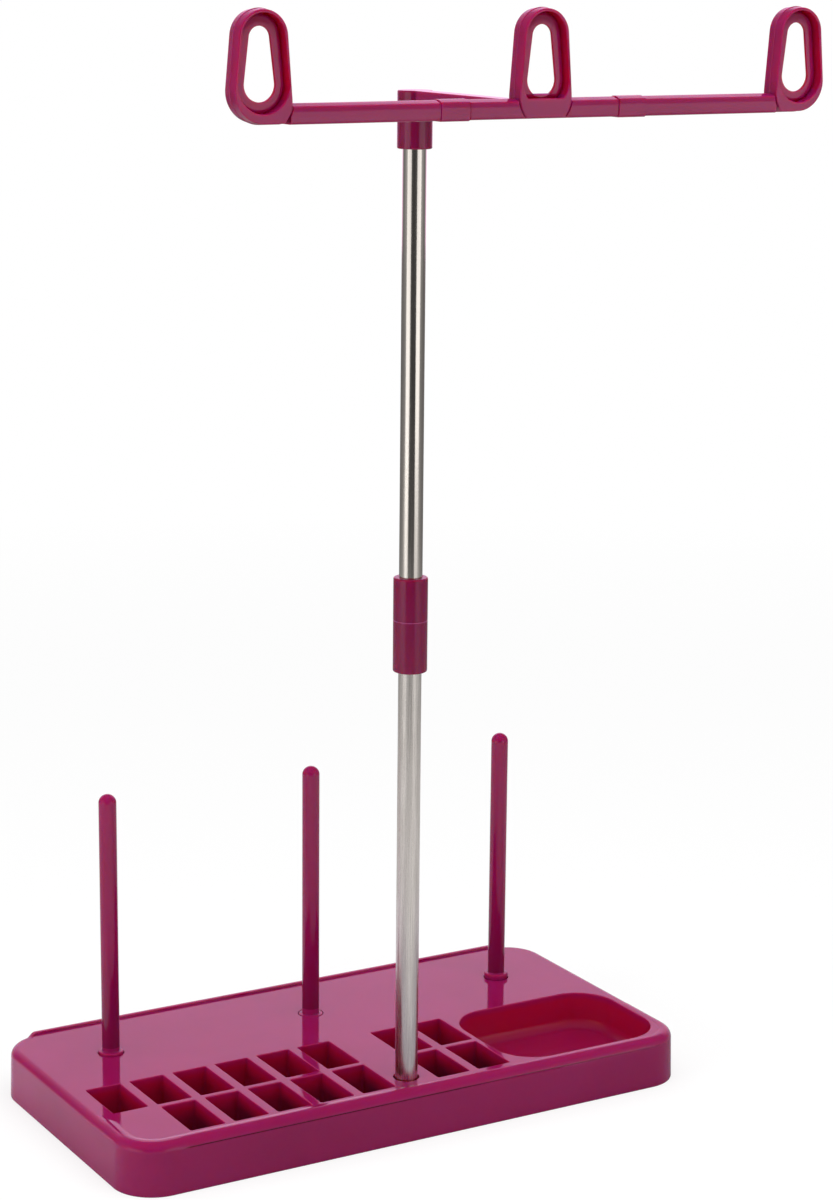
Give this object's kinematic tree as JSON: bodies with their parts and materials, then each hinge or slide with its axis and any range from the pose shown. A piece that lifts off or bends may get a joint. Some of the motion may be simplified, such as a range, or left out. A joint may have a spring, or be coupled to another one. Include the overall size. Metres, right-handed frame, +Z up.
{
  "type": "thread rack",
  "caption": "Tabletop sewing thread stand: moulded base with bobbin cells and a tray, upright spool pins, and a sectional steel pole with a turning head of thread guides",
  "frame": {"origin": "Bottom centre of the whole stand's bounding box: midway between the base's sides, midway between the guides' front face and the base's back, on the table.", "axes": "+X runs along the base to its tray end, +Y points from the cells to the row of spool pins, +Z up along the pole."},
  "size_m": [0.2226, 0.1798, 0.3865],
  "materials": {
    "plastic": "deep magenta moulded plastic, glossy, faintly translucent",
    "brushed_tube": "finely brushed stainless steel",
    "polished_tube": "polished stainless steel",
    "zinc": "zinc-plated steel",
    "plug": "black plastic"
  },
  "bodies": {
    "base": {"base_tray": "plastic", "foot_screw": "zinc", "foot_washer": "zinc", "foot_plug": "plug", "lower_tube": "brushed_tube", "lower_coupling": "plastic"},
    "pin_left": {"pin_left": "plastic"},
    "pin_middle": {"pin_middle": "plastic"},
    "pin_right": {"pin_right": "plastic"},
    "upper_pole": {"upper_coupling": "plastic", "upper_tube": "polished_tube"},
    "head": {"guide_hub": "plastic"},
    "guide_left": {"left_guide": "plastic"},
    "guide_right": {"right_guide": "plastic"}
  },
  "joints": [
    {"name": "pole_pull", "type": "slide", "parent": "base", "child": "upper_pole", "axis": [0, 0, 1], "range_m": [0, 0.025]},
    {"name": "head_turn", "type": "hinge", "parent": "upper_pole", "child": "head", "pos_m": [0.00035, -0.01145, 0.3535], "axis": [0, 0, 1], "continuous": true},
    {"name": "guide_left_pull", "type": "slide", "parent": "head", "child": "guide_left", "axis": [-1, 0, 0], "range_m": [0, 0.0085]},
    {"name": "guide_right_pull", "type": "slide", "parent": "head", "child": "guide_right", "axis": [1, 0, 0], "range_m": [0, 0.0085]},
    {"name": "pin_left_pull", "type": "slide", "parent": "base", "child": "pin_left", "axis": [0, 0, 1], "range_m": [-0.0009, 0.012]},
    {"name": "pin_middle_pull", "type": "slide", "parent": "base", "child": "pin_middle", "axis": [0, 0, 1], "range_m": [-0.0001, 0.012]},
    {"name": "pin_right_pull", "type": "slide", "parent": "base", "child": "pin_right", "axis": [0, 0, 1], "range_m": [-0.002, 0.012]}
  ]
}
